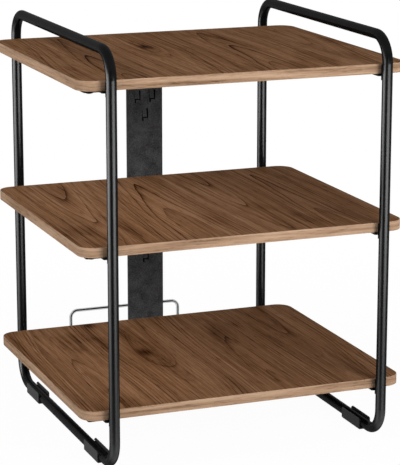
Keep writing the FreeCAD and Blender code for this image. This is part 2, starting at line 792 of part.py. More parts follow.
def make_foot(end, side):
    """A moulded channel that snaps up over the bottom rail."""
    end_sign, side_sign = ENDS[end], SIDES[side]
    name = f"{end}_{side}_foot_clip"
    body = new_body(name)
    section = new_sketch(body, f"{name}_section", "XZ_Plane", f"-({end_sign} * foot_centre)")
    x = f"({side_sign} * {FRAME_X})"
    bore = "(tube_diameter / 2 + foot_clearance)"
    outer = f"({bore} + foot_wall)"
    rim = f"({RAIL_Z} + tube_diameter / 2 + foot_wall_rise)"
    snap_low = f"({RAIL_Z} + {SNAP_START} * tube_diameter / 2)"
    snap_tip = f"({RAIL_Z} + {SNAP_CREST} * tube_diameter / 2)"
    lip = "(foot_wall / 2)"

    trough = Part.Circle(vector(x, RAIL_Z), FreeCAD.Vector(0, 0, 1), number(bore))
    arc = section.addGeometry(Part.ArcOfCircle(trough, math.pi, 2 * math.pi))
    hold_point(section, arc, 3, x, RAIL_Z)
    hold(section, "Radius", arc, expression=bore)
    for point in (1, 2):
        section.addConstraint(Sketcher.Constraint("Horizontal", arc, point, arc, 3))

    right_side = [
        (f"{x} + {bore}", snap_low),
        (f"{x} + {bore} - foot_snap", snap_tip),
        (f"{x} + {outer} - {lip}", rim),
        (f"{x} + {outer}", rim),
        (f"{x} + {outer}", "foot_chamfer"),
        (f"{x} + {outer} - foot_chamfer", "0"),
    ]
    left_side = [
        (f"{x} - {outer} + foot_chamfer", "0"),
        (f"{x} - {outer}", "foot_chamfer"),
        (f"{x} - {outer}", rim),
        (f"{x} - {outer} + {lip}", rim),
        (f"{x} - {bore} + foot_snap", snap_tip),
        (f"{x} - {bore}", snap_low),
    ]
    last = (arc, 2)
    for across, up in right_side + left_side:
        last = (run_out(section, last, across, up), 2)
    join_points(section, last, (arc, 1))
    pad(body, section, f"{name}_channel", "foot_length", symmetric=True)

    ends = new_sketch(body, f"{name}_end_outline", "YZ_Plane", x)
    centre = f"({end_sign} * foot_centre)"
    back, front = f"({centre} + foot_length / 2)", f"({centre} - foot_length / 2)"
    draw_corner_waste(ends, back, rim, 0, "foot_rim_rounding")
    draw_corner_waste(ends, front, rim, 1, "foot_rim_rounding")
    draw_corner_waste(ends, front, "0", 2, "foot_toe_rounding")
    draw_corner_waste(ends, back, "0", 3, "foot_toe_rounding")
    pocket(body, ends, f"{name}_ends", f"2 * ({outer} + foot_wall)", symmetric=True)
    keep(body, name)


# Build the sub-parts

for side, sign in SIDES.items():
    make_frame_tube(side, sign)

for shelf in SHELVES:
    make_shelf(shelf)
    for end in ENDS:
        for side in SIDES:
            make_bracket(shelf, end, side)

insert_pattern = make_insert_pattern()
bolt_pattern = make_domed_fastener(
    "shelf_bolt", "bolt_head", "bolt_diameter", "(bracket_thickness + bolt_engagement)", "bolt_point"
)
cut_socket(bolt_pattern, "shelf_bolt", "bolt_socket_width", "bolt_socket_depth", "bolt_head")
for shelf in SHELVES:
    underside = f"({shelf}_shelf_height - shelf_thickness)"
    copies(f"{shelf}_shelf_inserts", insert_pattern, [(x, y, underside) for x, y in shelf_bolts()])
    seat = f"({underside} - bracket_thickness)"
    copies(f"{shelf}_shelf_bolts", bolt_pattern, [(x, y, seat) for x, y in shelf_bolts()])

make_panel()
make_panel_cover()
panel_screw = make_domed_fastener(
    "panel_screw", "screw_head", "screw_diameter", "panel_screw_length", "screw_point"
)
cut_socket(panel_screw, "panel_screw", "screw_socket_width", "screw_socket_depth", "screw_head")
panel_places = []
for shelf in SHELVES:
    panel_places += [(x, PANEL_REAR, z) for x, z in panel_screw_places(shelf)]
copies("panel_screws", panel_screw, panel_places, tilt=90)

make_cradle()
for side, sign in SIDES.items():
    make_cradle_plate(side, sign)
cradle_screw = make_domed_fastener(
    "cradle_screw", "screw_head", "screw_diameter", "cradle_screw_length", "screw_point"
)
cut_socket(cradle_screw, "cradle_screw", "screw_socket_width", "screw_socket_depth", "screw_head")
plate_foot = f"({BOTTOM_UNDERSIDE} - cradle_plate_thickness)"
cradle_places = []
for sign in SIDES.values():
    cradle_places += [(x, y, plate_foot) for x, y in cradle_screw_places(sign)]
copies("cradle_screws", cradle_screw, cradle_places)

for end in ENDS:
    for side in SIDES:
        make_foot(end, side)

doc.recompute()

# Check every object and every sub-part, then write the sub-parts

for item in doc.Objects:
    if "Invalid" in item.State or "Error" in item.State:
        raise RuntimeError(f"{item.Name} failed: {item.State}")
for item in sub_parts:
    if item.Shape.isNull() or not item.Shape.isValid():
        raise RuntimeError(f"{item.Label} has no valid shape")

os.makedirs("parts", exist_ok=True)
for item in sub_parts:
    item.Shape.exportStep(f"parts/{item.Label}.step")
    print(f"{item.Label}: {len(item.Shape.Solids)} solids, {item.Shape.Volume:.1f} mm3")
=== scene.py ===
# %% [markdown]
# Open shelf stand, dressed for its picture
#
# The stand arrives as finished metalwork and boards: every tube, board, bracket and
# screw is already at its real size and place. This lesson gives each surface its
# finish, adds the weld beads that hold the brackets, and lights the stand in a white
# studio. Lengths are in metres. X runs to the right, Y to the back and Z up.

# %% Load the stand
import math

import bpy
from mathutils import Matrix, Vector


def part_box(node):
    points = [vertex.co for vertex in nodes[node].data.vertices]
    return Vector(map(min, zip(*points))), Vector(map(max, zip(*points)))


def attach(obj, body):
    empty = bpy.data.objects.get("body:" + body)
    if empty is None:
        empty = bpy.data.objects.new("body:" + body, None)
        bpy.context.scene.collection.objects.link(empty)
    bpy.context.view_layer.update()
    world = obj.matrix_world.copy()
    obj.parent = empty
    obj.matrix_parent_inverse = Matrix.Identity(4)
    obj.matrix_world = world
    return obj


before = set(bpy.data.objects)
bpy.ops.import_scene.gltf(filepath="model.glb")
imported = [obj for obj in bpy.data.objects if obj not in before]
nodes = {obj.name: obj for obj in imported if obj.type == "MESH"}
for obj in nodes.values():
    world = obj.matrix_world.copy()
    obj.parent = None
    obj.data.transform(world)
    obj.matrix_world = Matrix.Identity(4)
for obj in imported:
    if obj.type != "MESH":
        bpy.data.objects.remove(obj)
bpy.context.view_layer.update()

MILLIMETRE = 0.001
# the words that the names of repeated pieces are made of
LEVELS = ("bottom", "middle", "top")
ENDS = ("front", "rear")
SIDES = ("left", "right")

# %% [markdown]
# A finish is a small graph of shader nodes, so the lesson needs a few short helpers to
# write such a graph down. An input is either a plain value or the output of a node that
# was made before, and arithmetic is a node like any other.

# %% Helpers for writing a graph


def add_node(material, kind, inputs=None, **settings):
    node = material.node_tree.nodes.new(kind)
    for name, value in settings.items():
        setattr(node, name, value)
    for name, value in (inputs or {}).items():
        if isinstance(value, bpy.types.NodeSocket):
            material.node_tree.links.new(value, node.inputs[name])
        else:
            node.inputs[name].default_value = value
    return node


def plug(material, output, socket):
    material.node_tree.links.new(output, socket)


def reckon(material, operation, *values):
    """One step of arithmetic on outputs or numbers."""
    inputs = dict(enumerate(values))
    return add_node(material, "ShaderNodeMath", inputs, operation=operation).outputs[0]


def new_finish(name):
    """A material with its main shader, ready for a graph."""
    material = bpy.data.materials.new(name)
    material.use_nodes = True
    shader = material.node_tree.nodes["Principled BSDF"]
    return material, shader


print(len(bpy.data.materials), "finishes before the stand is dressed")

# %% [markdown]
# The board faces carry a walnut-effect laminate whose grain runs from front to back.
# Real plain-sawn wood shows the rings of a log cut lengthwise: straight lines at the
# sides of a leaf and pointed arches along its middle. One could wrap a Wave texture
# round an axis, but that repeats too neatly. Here a field is built that rises slowly
# along the grain and in smooth swells across it. Its level lines are the rings, so
# straight runs, arches and the bends round a knot all come out of the same few numbers.
#
# It all reads Object coordinates, which are metres on the real stand, so a scale of 100
# means one change every centimetre.

# %% Walnut laminate: leaves and knots
LEAF_STEP_ACROSS = 7.3
LEAF_STEP_ALONG = 3.1
KNOT_SPACING = 0.3
KNOT_STRETCH = (1.0, 0.5, 1.0)
KNOT_NARROWING = 45.0
HEART_NARROWING = 900.0


def object_place(material):
    return add_node(material, "ShaderNodeTexCoord").outputs["Object"]


def axes_of(material, vector):
    return add_node(material, "ShaderNodeSeparateXYZ", {"Vector": vector}).outputs


def stretch(material, vector, scale):
    mapping = add_node(material, "ShaderNodeMapping", {"Vector": vector, "Scale": scale})
    return mapping.outputs["Vector"]


def cut_from_log(material):
    """Each height takes its own cut from the log, so no two shelves are alike."""
    place = axes_of(material, object_place(material))
    across = reckon(material, "MULTIPLY_ADD", place["Z"], LEAF_STEP_ACROSS, place["X"])
    along = reckon(material, "MULTIPLY_ADD", place["Z"], LEAF_STEP_ALONG, place["Y"])
    leaf = add_node(material, "ShaderNodeCombineXYZ", {"X": across, "Y": along})
    return leaf.outputs["Vector"], across, along


def knots(material, leaf):
    """Small swells where a twig left the log, longer than they are wide, and their hearts."""
    inputs = {"Vector": stretch(material, leaf, KNOT_STRETCH), "Scale": 1 / KNOT_SPACING}
    cells = add_node(material, "ShaderNodeTexVoronoi", inputs, voronoi_dimensions="2D")
    distance = cells.outputs["Distance"]
    squared = reckon(material, "MULTIPLY", distance, distance)
    swells = []
    for narrowing in (KNOT_NARROWING, HEART_NARROWING):
        falling = reckon(material, "MULTIPLY", squared, -narrowing)
        swells.append(reckon(material, "EXPONENT", falling))
    return swells


print("one knot or so in every", KNOT_SPACING, "m")

# %% [markdown]
# The ring count adds up from a few parts: a steady rise along the grain, one swell for
# each leaf, slow waves, a fine tremble and the knots. The waves and the tremble are
# noises drawn out along the grain, so their scale has one number for each axis.

# %% Walnut laminate: the ring field
LEAF_WIDTH = 0.24
LEAF_WANDER = 0.14
RINGS_ALONG = 6.0
SWELL_RINGS = 7.0
WAVE_RINGS = 2.2
TREMBLE_RINGS = 0.3
KNOT_RINGS = 1.4
DRIFT_SCALE = (3.0, 1.1, 1.0)
WAVE_SCALE = (12.0, 2.0, 1.0)
TREMBLE_SCALE = (70.0, 6.0, 1.0)


def noise(material, vector, scale=1.0, detail=2.0, roughness=0.5):
    inputs = {"Vector": vector, "Scale": scale, "Detail": detail, "Roughness": roughness}
    return add_node(material, "ShaderNodeTexNoise", inputs).outputs["Fac"]


def grain(material, vector, scale, detail=2.0, roughness=0.5):
    """A noise that is finer along one axis than along another."""
    return noise(material, stretch(material, vector, scale), detail=detail, roughness=roughness)


def ring_field(material, leaf, across, along, knot_swell):
    """Count rings from a line in the log, so that whole numbers are ring edges."""
    drift = grain(material, leaf, DRIFT_SCALE, detail=1.0)
    wander = reckon(material, "MULTIPLY_ADD", drift, LEAF_WANDER, across)
    turns = reckon(material, "MULTIPLY", wander, 2 * math.pi / LEAF_WIDTH)
    parts = (
        (reckon(material, "COSINE", turns), SWELL_RINGS),
        (grain(material, leaf, WAVE_SCALE), WAVE_RINGS),
        (grain(material, leaf, TREMBLE_SCALE), TREMBLE_RINGS),
        (knot_swell, KNOT_RINGS),
    )
    field = reckon(material, "MULTIPLY", along, RINGS_ALONG)
    for pattern, rings in parts:
        field = reckon(material, "MULTIPLY_ADD", pattern, rings, field)
    return field


print("rings follow a leaf", LEAF_WIDTH, "m wide")

# %% [markdown]
# No two years of growth are alike, so the tone of each ring comes from a noise that is
# read along the ring count itself: broad dark and light bands, each full of finer
# lines, all bending together round the arches. A few rings end in a sharp dark line.
# Most of a noise lies in its middle span, and that span is spread over the wanted range.

# %% Walnut laminate: bands and ring lines
NOISE_SPAN = (0.3, 0.7)
BAND_SCALE = 0.55
BAND_DETAIL = 4.0
BAND_ROUGHNESS = 0.62
BAND_TONE = (0.505, 0.825)
LINE_SHARPNESS = 8.0
LINE_SCALE = 0.31
LINE_SPAN = (0.42, 0.66)
LINE_DEPTH = 0.85


def between(material, value, from_low, from_high, to_low, to_high):
    """Rescale a value from one range to another, held inside the new range."""
    inputs = {
        "Value": value,
        "From Min": from_low,
        "From Max": from_high,
        "To Min": to_low,
        "To Max": to_high,
    }
    return add_node(material, "ShaderNodeMapRange", inputs).outputs["Result"]


def spread(material, pattern, low, high):
    return between(material, pattern, *NOISE_SPAN, low, high)


def ring_noise(material, count, scale, detail, roughness):
    """A noise that changes only from ring to ring."""
    inputs = {"W": count, "Scale": scale, "Detail": detail, "Roughness": roughness}
    texture = add_node(material, "ShaderNodeTexNoise", inputs, noise_dimensions="1D")
    return texture.outputs["Fac"]


def ring_bands(material, field):
    bands = ring_noise(material, field, BAND_SCALE, BAND_DETAIL, BAND_ROUGHNESS)
    return spread(material, bands, *BAND_TONE)


def ring_lines(material, field):
    edge = reckon(material, "POWER", reckon(material, "FRACT", field), LINE_SHARPNESS)
    choice = ring_noise(material, field, LINE_SCALE, detail=1.0, roughness=0.5)
    depth = between(material, choice, *LINE_SPAN, 0.0, LINE_DEPTH)
    return reckon(material, "MULTIPLY", edge, depth)


print("bands run from tone", BAND_TONE[0], "to", BAND_TONE[1])

# %% [markdown]
# Long streaks, soft clouds and fine fibres shift that tone up and down. Smudges, dashes,
# open pores and the knots with their dark hearts only take it down. Smudges, dashes and
# pores are rare, so only the peaks of their noises count.

# %% Walnut laminate: fine patterns
STREAK_SCALE = (34.0, 1.1, 1.0)
CLOUD_SCALE = (5.0, 1.4, 1.0)
FIBRE_SCALE = (520.0, 4.0, 1.0)
SMUDGE_SCALE = (16.0, 4.0, 1.0)
SMUDGE_SPAN = (0.56, 0.72)
DASH_SCALE = (330.0, 22.0, 1.0)
DASH_SPAN = (0.58, 0.66)
PORE_SCALE = (1300.0, 40.0, 1.0)
PORE_SPAN = (0.6, 0.7)
FACE_SHIFTS = {"streak": 0.07, "cloud": 0.09, "fibre": 0.2}
FACE_STAINS = {"smudge": 0.24, "dash": 0.15, "pore": 0.14, "knot_swell": 0.1, "knot_heart": 0.4}


def peaks(material, pattern, span):
    """Nothing below the span, and one above it."""
    return between(material, pattern, *span, 0.0, 1.0)


def face_patterns(material, leaf):
    return {
        "streak": grain(material, leaf, STREAK_SCALE, detail=4.0, roughness=0.6),
        "cloud": grain(material, leaf, CLOUD_SCALE, detail=1.0),
        "fibre": grain(material, leaf, FIBRE_SCALE),
        "smudge": peaks(material, grain(material, leaf, SMUDGE_SCALE, detail=3.0), SMUDGE_SPAN),
        "dash": peaks(material, grain(material, leaf, DASH_SCALE, detail=1.0), DASH_SPAN),
        "pore": peaks(material, grain(material, leaf, PORE_SCALE, detail=1.0), PORE_SPAN),
    }


def shift_tone(material, tone, patterns, reaches):
    """Move a tone up and down by each pattern, as far as its reach."""
    for name, reach in reaches.items():
        tone = reckon(material, "ADD", tone, spread(material, patterns[name], -reach, reach))
    return tone


def darken_tone(material, tone, patterns, depths):
    """Take a tone down where each pattern shows."""
    for name, depth in depths.items():
        stain = reckon(material, "MULTIPLY", patterns[name], depth)
        tone = reckon(material, "SUBTRACT", tone, stain)
    return tone


print(len(FACE_SHIFTS), "patterns shift the tone and", len(FACE_STAINS), "darken it")

# %% [markdown]
# The tone runs through a ramp of walnut browns. Laminate is pressed matt, with only a
# whisper of lacquer, so its plain gloss is off and a thin coat gives the sheen. The
# pores are rougher than the rest and lie a little deeper.

# %% Walnut laminate: colour and pores
WALNUT_TONES = (
    (0.0, (0.018, 0.006, 0.002)),
    (0.2, (0.060, 0.024, 0.0085)),
    (0.45, (0.142, 0.0655, 0.029)),
    (0.7, (0.226, 0.113, 0.056)),
    (1.0, (0.335, 0.186, 0.104)),
)
FACE_ROUGHNESS = (0.5, 0.65)
FACE_RELIEF = 0.03 * MILLIMETRE
LACQUER_WEIGHT = 0.014
LACQUER_ROUGHNESS = 0.3


def colour_ramp(material, value, stops):
    ramp = add_node(material, "ShaderNodeValToRGB", {"Fac": value})
    elements = ramp.color_ramp.elements
    while len(elements) < len(stops):
        elements.new(0.5)
    for element, (position, colour) in zip(elements, stops):
        element.position = position
        element.color = (*colour, 1.0)
    return ramp.outputs["Color"]


def thin_coat(shader, weight, roughness):
    """Plain gloss off, and a thin clear coat for the sheen."""
    shader.inputs["Specular IOR Level"].default_value = 0.0
    shader.inputs["Coat Weight"].default_value = weight
    shader.inputs["Coat Roughness"].default_value = roughness


def bump(material, shader, height, depth):
    """Raise the surface by a height from 0 to 1 times a depth in metres."""
    relief = add_node(material, "ShaderNodeBump", {"Height": height, "Distance": depth})
    plug(material, relief.outputs["Normal"], shader.inputs["Normal"])


def dress(material, *names):
    for name in names:
        nodes[name].data.materials.clear()
        nodes[name].data.materials.append(material)
    print(material.name, "on", len(names), "pieces")


def walnut_faces():
    material, shader = new_finish("walnut_laminate_faces")
    leaf, across, along = cut_from_log(material)
    patterns = face_patterns(material, leaf)
    patterns["knot_swell"], patterns["knot_heart"] = knots(material, leaf)
    field = ring_field(material, leaf, across, along, patterns["knot_swell"])
    tone = shift_tone(material, ring_bands(material, field), patterns, FACE_SHIFTS)
    tone = reckon(material, "SUBTRACT", tone, ring_lines(material, field))
    tone = darken_tone(material, tone, patterns, FACE_STAINS)
    plug(material, colour_ramp(material, tone, WALNUT_TONES), shader.inputs["Base Color"])
    rough = between(material, patterns["pore"], 0.0, 1.0, *FACE_ROUGHNESS)
    plug(material, rough, shader.inputs["Roughness"])
    thin_coat(shader, LACQUER_WEIGHT, LACQUER_ROUGHNESS)
    relief = reckon(material, "SUBTRACT", patterns["fibre"], patterns["pore"])
    bump(material, shader, relief, FACE_RELIEF)
    return material


dress(walnut_faces(), *[f"{level}_shelf_board" for level in LEVELS])

# %% [markdown]
# The edge of each board is closed by a thin band in a paler cut of the same wood, with
# its grain running along the edge. A pattern that is long in both X and Y and short in
# Z follows the band along all four sides and round the corners without any unwrapping.

# %% Walnut edge band
EDGE_TONES = (
    (0.0, (0.112, 0.062, 0.034)),
    (0.3, (0.225, 0.139, 0.085)),
    (0.6, (0.315, 0.201, 0.129)),
    (1.0, (0.407, 0.276, 0.186)),
)
EDGE_STREAK_SCALE = (5.0, 5.0, 190.0)
EDGE_STREAK_TONE = (0.24, 1.04)
EDGE_CLOUD_SCALE = 9.0
EDGE_PORE_SCALE = (60.0, 60.0, 900.0)
EDGE_PORE_SPAN = (0.54, 0.64)
EDGE_SHIFTS = {"cloud": 0.08}
EDGE_STAINS = {"pore": 0.26}
EDGE_ROUGHNESS = (0.4, 0.55)
EDGE_RELIEF = 0.02 * MILLIMETRE


def walnut_band():
    material, shader = new_finish("walnut_edge_band")
    place = object_place(material)
    streak = grain(material, place, EDGE_STREAK_SCALE, detail=3.0, roughness=0.6)
    patterns = {
        "cloud": noise(material, place, scale=EDGE_CLOUD_SCALE, detail=1.0),
        "pore": peaks(material, grain(material, place, EDGE_PORE_SCALE), EDGE_PORE_SPAN),
    }
    tone = spread(material, streak, *EDGE_STREAK_TONE)
    tone = shift_tone(material, tone, patterns, EDGE_SHIFTS)
    tone = darken_tone(material, tone, patterns, EDGE_STAINS)
    plug(material, colour_ramp(material, tone, EDGE_TONES), shader.inputs["Base Color"])
    rough = between(material, patterns["pore"], 0.0, 1.0, *EDGE_ROUGHNESS)
    plug(material, rough, shader.inputs["Roughness"])
    thin_coat(shader, LACQUER_WEIGHT, LACQUER_ROUGHNESS)
    relief = reckon(material, "SUBTRACT", streak, patterns["pore"])
    bump(material, shader, relief, EDGE_RELIEF)
    return material


dress(walnut_band(), *[f"{level}_shelf_edge_band" for level in LEVELS])

# %% [markdown]
# The tubes and brackets are powder coated. Powder melts into a satin black skin with a
# faint orange peel, a soft ripple a millimetre or so across that breaks up highlights.
# Its plain gloss is off, and a thin clear coat gives the shine: at full gloss the handles
# would turn grey, because they mirror the white studio at a glancing angle.

# %% Powder coat on the tubes and brackets
COAT_DARK = (0.0026, 0.0027, 0.0029)
COAT_LIGHT = (0.0044, 0.0045, 0.0048)
COAT_PATCH_SCALE = 35.0
COAT_ROUGHNESS = (0.22, 0.27)
COAT_SHINE = 0.1
COAT_SHINE_ROUGHNESS = 0.25
PEEL_SCALE = 700.0
PEEL_RELIEF = 0.0015 * MILLIMETRE


def two_tone(material, pattern, dark, light):
    return colour_ramp(material, pattern, tuple(zip(NOISE_SPAN, (dark, light))))


def powder_coat():
    material, shader = new_finish("satin_powder_coat")
    place = object_place(material)
    peel = noise(material, place, scale=PEEL_SCALE)
    patch = noise(material, place, scale=COAT_PATCH_SCALE)
    shade = two_tone(material, patch, COAT_DARK, COAT_LIGHT)
    plug(material, shade, shader.inputs["Base Color"])
    plug(material, spread(material, patch, *COAT_ROUGHNESS), shader.inputs["Roughness"])
    thin_coat(shader, COAT_SHINE, COAT_SHINE_ROUGHNESS)
    bump(material, shader, peel, PEEL_RELIEF)
    return material


coat = powder_coat()
brackets = [f"{level}_{end}_{side}_bracket" for level in LEVELS for end in ENDS for side in SIDES]
dress(coat, *[f"{side}_frame_tube" for side in SIDES])
dress(coat, *brackets)

# %% [markdown]
# The cable panel has a coarser, matt powder coat: a sandy black whose tiny grains catch
# the light one by one. Grains could be scattered over it as meshes, but from a step away
# the eye can't part them, so one fine noise drives colour, roughness and bump together.
# The lighter specks in its colour are partly the grains' own tone and partly painted glints.

# %% Textured coat on the panel
SAND_TONES_AND_GLINTS = (
    (0.34, (0.0112, 0.0113, 0.012)),
    (0.66, (0.069, 0.07, 0.0735)),
)
SAND_SCALE = 800.0
SAND_SHARE = 0.7
SAND_PATCH_SCALE = 60.0
SAND_ROUGHNESS = (0.55, 0.7)
SAND_GLOSS = 0.12
SAND_RELIEF = 0.08 * MILLIMETRE


def textured_coat():
    material, shader = new_finish("textured_powder_coat")
    place = object_place(material)
    sand = noise(material, place, scale=SAND_SCALE, roughness=0.6)
    patch = noise(material, place, scale=SAND_PATCH_SCALE)
    sand_part = reckon(material, "MULTIPLY", sand, SAND_SHARE)
    # lighter specks: partly the grains' own tone, partly painted glints
    speck_and_glint = reckon(material, "MULTIPLY_ADD", patch, 1.0 - SAND_SHARE, sand_part)
    plug(material, colour_ramp(material, speck_and_glint, SAND_TONES_AND_GLINTS), shader.inputs["Base Color"])
    plug(material, spread(material, sand, *SAND_ROUGHNESS), shader.inputs["Roughness"])
    shader.inputs["Specular IOR Level"].default_value = SAND_GLOSS
    bump(material, shader, sand, SAND_RELIEF)
    return material


dress(textured_coat(), "rear_cable_panel")

# %% [markdown]
# Small metal: the bolts and screws are black zinc, the threaded inserts turned brass,
# and the cable cradle is bright chrome. Chrome has almost no colour of its own and
# mirrors a little over half of the light that meets it. One function serves all three,
# because they differ only in tone, roughness and the size of their wear, and some
# unevenness in the roughness keeps each from looking like a perfect mirror.

# %% Fasteners, inserts and chrome wire


def metal(name, dark, light, roughness, wear_scale):
    material, shader = new_finish(name)
    wear = noise(material, object_place(material), scale=wear_scale, detail=3.0)
    plug(material, two_tone(material, wear, dark, light), shader.inputs["Base Color"])
    plug(material, spread(material, wear, *roughness), shader.inputs["Roughness"])
    shader.inputs["Metallic"].default_value = 1.0
    return material


black_zinc = metal(
    "black_zinc",
    dark=(0.012, 0.012, 0.013),
    light=(0.03, 0.03, 0.031),
    roughness=(0.3, 0.42),
    wear_scale=900.0,
)
brass = metal(
    "turned_brass",
    dark=(0.60, 0.44, 0.19),
    light=(0.74, 0.58, 0.28),
    roughness=(0.22, 0.34),
    wear_scale=600.0,
)
chrome = metal(
    "bright_chrome",
    dark=(0.53, 0.535, 0.535),
    light=(0.57, 0.575, 0.575),
    roughness=(0.2, 0.24),
    wear_scale=120.0,
)
shelf_bolts = [f"{level}_shelf_bolts" for level in LEVELS]
dress(black_zinc, "panel_screws", "cradle_screws", *shelf_bolts)
dress(brass, *[f"{level}_shelf_inserts" for level in LEVELS])
dress(chrome, "cable_cradle_wire", *[f"{side}_cradle_plate" for side in SIDES])

# %% [markdown]
# The feet are moulded from black plastic with a fine spark-eroded grain, which a noise
# gives more evenly than a pattern of cells would. The cover in the panel's back is a
# plain strip of the same kind, but dull and blacker still: its near-black is painted
# shade, so that the slits of the hooks look into the dark.

# %% Moulded plastic feet and cover
MOULD_GRAIN_SCALE = 1500.0
MOULD_RELIEF = 0.02 * MILLIMETRE


def moulded_plastic(name, dark, light, gloss, roughness):
    material, shader = new_finish(name)
    speckle = noise(material, object_place(material), scale=MOULD_GRAIN_SCALE)
    plug(material, two_tone(material, speckle, dark, light), shader.inputs["Base Color"])
    plug(material, spread(material, speckle, *roughness), shader.inputs["Roughness"])
    shader.inputs["Specular IOR Level"].default_value = gloss
    bump(material, shader, speckle, MOULD_RELIEF)
    return material


foot_black = moulded_plastic(
    "moulded_plastic",
    dark=(0.014, 0.014, 0.0146),
    light=(0.022, 0.022, 0.023),
    gloss=0.06,
    roughness=(0.42, 0.52),
)
# painted shade: the cover is made near black so that the slits of the hooks look dark
cover_painted_shade = moulded_plastic(
    "cover_plastic_painted_shade",
    dark=(0.002, 0.002, 0.002),
    light=(0.004, 0.004, 0.004),
    gloss=0.08,
    roughness=(0.7, 0.8),
)
feet = [f"{end}_{side}_foot_clip" for end in ENDS for side in SIDES]
dress(foot_black, *feet)
dress(cover_painted_shade, "panel_back_cover")

# %% [markdown]
# No moulded edge is knife sharp. A small rounded edge catches a thin line of light, so
# the feet get one from a Bevel modifier. Their meshes are loose triangles, and a Weld
# modifier joins these first.

# %% Rounded edges on the feet
FOOT_EDGE_ROUND = 0.6 * MILLIMETRE
FOOT_EDGE_STEPS = 2
SHARP_EDGE_ANGLE = 40.0
JOINING_DISTANCE = 0.001 * MILLIMETRE


def round_edges(name):
    joined = nodes[name].modifiers.new("joined", "WELD")
    joined.merge_threshold = JOINING_DISTANCE
    rounded = nodes[name].modifiers.new("rounded", "BEVEL")
    rounded.width = FOOT_EDGE_ROUND
    rounded.segments = FOOT_EDGE_STEPS
    rounded.limit_method = "ANGLE"
    rounded.angle_limit = math.radians(SHARP_EDGE_ANGLE)
    print(name, "edges rounded to", FOOT_EDGE_ROUND, "m")


for name in feet:
    round_edges(name)

# %% [markdown]
# Each bracket is welded to its tube along both sides of its leg. A weld is a row of
# small puddles that froze one on another, so it looks like a stack of tilted coins. A
# displaced cylinder would give an even screw thread. Here one bead is drawn out as by
# hand instead: a small tilted disc is extruded upwards again and again, each puddle
# swelling and drawing in by a different amount.

# %% Puddles of a weld bead
BEAD_END_WIDTH = 0.55
PUDDLE_PITCH = 1.2 * MILLIMETRE
PUDDLE_UNEVENNESS = 0.07
PUDDLE_PHASE = 2.4
PUDDLE_SHAPE = (
    # share of a puddle's rise, and its width there
    (0.3, 0.94),
    (0.4, 1.0),
    (0.3, 0.82),
)


def raise_puddles(length, puddles):
    """Extrude the selected disc upwards, one puddle on another, and give its last width."""
    height = -length / 2
    width = BEAD_END_WIDTH
    for puddle in range(puddles):
        uneven = 1.0 + PUDDLE_UNEVENNESS * math.sin(PUDDLE_PHASE * puddle)
        for share, shape in PUDDLE_SHAPE:
            step = share * length / puddles
            bpy.ops.mesh.extrude_region_move(TRANSFORM_OT_translate={"value": (0.0, 0.0, step)})
            height += step
            grow = shape * uneven / width
            centre = (0.0, 0.0, height)
            bpy.ops.transform.resize(value=(grow, grow, 1.0), center_override=centre)
            width = shape * uneven
    return width


print("a puddle every", PUDDLE_PITCH, "m")

# %% [markdown]
# The whole bead starts as that disc, added at its size and place and tilted. After the
# last puddle an inset draws its top in to a small dome, and the normals are made to
# point outwards.

# %% One weld bead
BEAD_SIDES = 12
BEAD_TILT = 25.0
BEAD_END_DOME = 0.2


def weld_bead(radius, length):
    """An upright bead on the origin, half above it and half below."""
    puddles = round(length / PUDDLE_PITCH)
    bpy.ops.object.select_all(action="DESELECT")
    bpy.ops.mesh.primitive_circle_add(
        vertices=BEAD_SIDES,
        radius=radius * BEAD_END_WIDTH,
        fill_type="NGON",
        location=(0.0, 0.0, -length / 2),
        rotation=(math.radians(BEAD_TILT), 0.0, 0.0),
    )
    bpy.ops.object.transform_apply(location=True, rotation=True, scale=True)
    bpy.ops.object.mode_set(mode="EDIT")
    bpy.ops.mesh.select_all(action="SELECT")
    width = raise_puddles(length, puddles)
    closing = radius * (width - BEAD_END_WIDTH)
    bpy.ops.mesh.inset(thickness=closing, depth=radius * BEAD_END_DOME)
    bpy.ops.mesh.select_all(action="SELECT")
    bpy.ops.mesh.normals_make_consistent(inside=False)
    bpy.ops.object.mode_set(mode="OBJECT")
    bpy.ops.object.shade_smooth()
    bead = bpy.context.active_object
    print("bead", length, "m long,", puddles, "puddles,", len(bead.data.polygons), "faces")
    return bead


# %% [markdown]
# The beads lie in the two corners where a bracket's flat leg runs into the round tube.
# The tube's axis comes from the box of its loop and the leg's height from the box of
# the bracket, so the beads follow the metalwork. They were painted over with it.

# %% Weld beads along the brackets
BEAD_RADIUS = 1.4 * MILLIMETRE
BEAD_ASIDE = 5.3 * MILLIMETRE
BEAD_AHEAD = 6.9 * MILLIMETRE
BEAD_SHORT_OF_LEG = 1.5 * MILLIMETRE
TUBE_RADIUS = 8.0 * MILLIMETRE


def lay_beads(name, bead, places, finish):
    """Copies of one bead, joined to one piece with its place in its mesh."""
    copies = []
    for place in places:
        bpy.ops.object.select_all(action="DESELECT")
        bead.select_set(True)
        bpy.context.view_layer.objects.active = bead
        bpy.ops.object.duplicate()
        copies.append(bpy.context.active_object)
        copies[-1].location = place
    for copy in copies:
        copy.select_set(True)
    bpy.context.view_layer.objects.active = copies[0]
    bpy.ops.object.join()
    bpy.ops.object.transform_apply(location=True, rotation=True, scale=True)
    weld = bpy.context.active_object
    weld.name = weld.data.name = name
    weld.data.materials.append(finish)
    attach(weld, "stand")
    print(name, "with", len(places), "beads")


